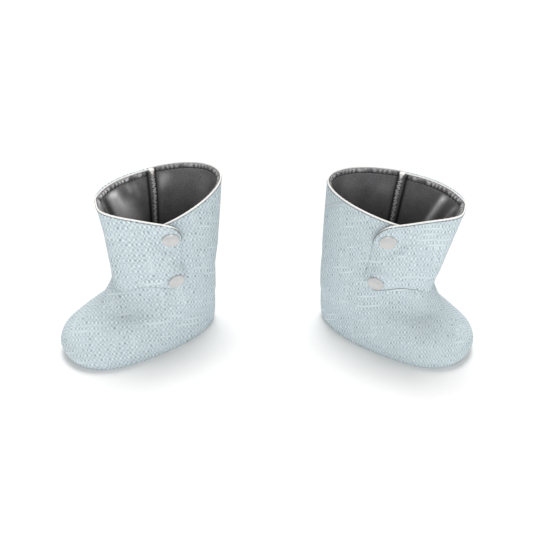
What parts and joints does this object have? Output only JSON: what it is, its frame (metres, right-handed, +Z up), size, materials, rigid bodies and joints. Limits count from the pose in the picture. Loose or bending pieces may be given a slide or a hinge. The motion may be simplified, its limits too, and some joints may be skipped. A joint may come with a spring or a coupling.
{
  "type": "pair of boot covers",
  "caption": "Pair of baby-size cloth boot covers standing toes out, each with a lined open cuff and a front flap closed by two snaps.",
  "frame": {"origin": "on the floor, under the middle of the pair's bounding box", "axes": "+X across the pair, from the left cover to the right one as pictured; -Y towards the viewer and the toes; +Z up"},
  "size_m": [0.2992, 0.091, 0.1216],
  "materials": {
    "linen_cloth": "plain-woven pale ice-blue linen look",
    "satin_lining": "dark grey satin with a soft sheen",
    "snap_plastic": "moulded pale grey, satin"
  },
  "bodies": {
    "root": {"left_upper": "linen_cloth", "left_front_flap": "linen_cloth", "left_sole": "linen_cloth", "left_lining_body": "satin_lining", "left_lining_flap": "satin_lining", "left_sole_lining": "satin_lining", "left_seam_allowance": "satin_lining", "left_snap_cap_top": "snap_plastic", "left_snap_cap_bottom": "snap_plastic", "right_upper": "linen_cloth", "right_front_flap": "linen_cloth", "right_sole": "linen_cloth", "right_lining_body": "satin_lining", "right_lining_flap": "satin_lining", "right_sole_lining": "satin_lining", "right_seam_allowance": "satin_lining", "right_snap_cap_top": "snap_plastic", "right_snap_cap_bottom": "snap_plastic"}
  },
  "joints": []
}
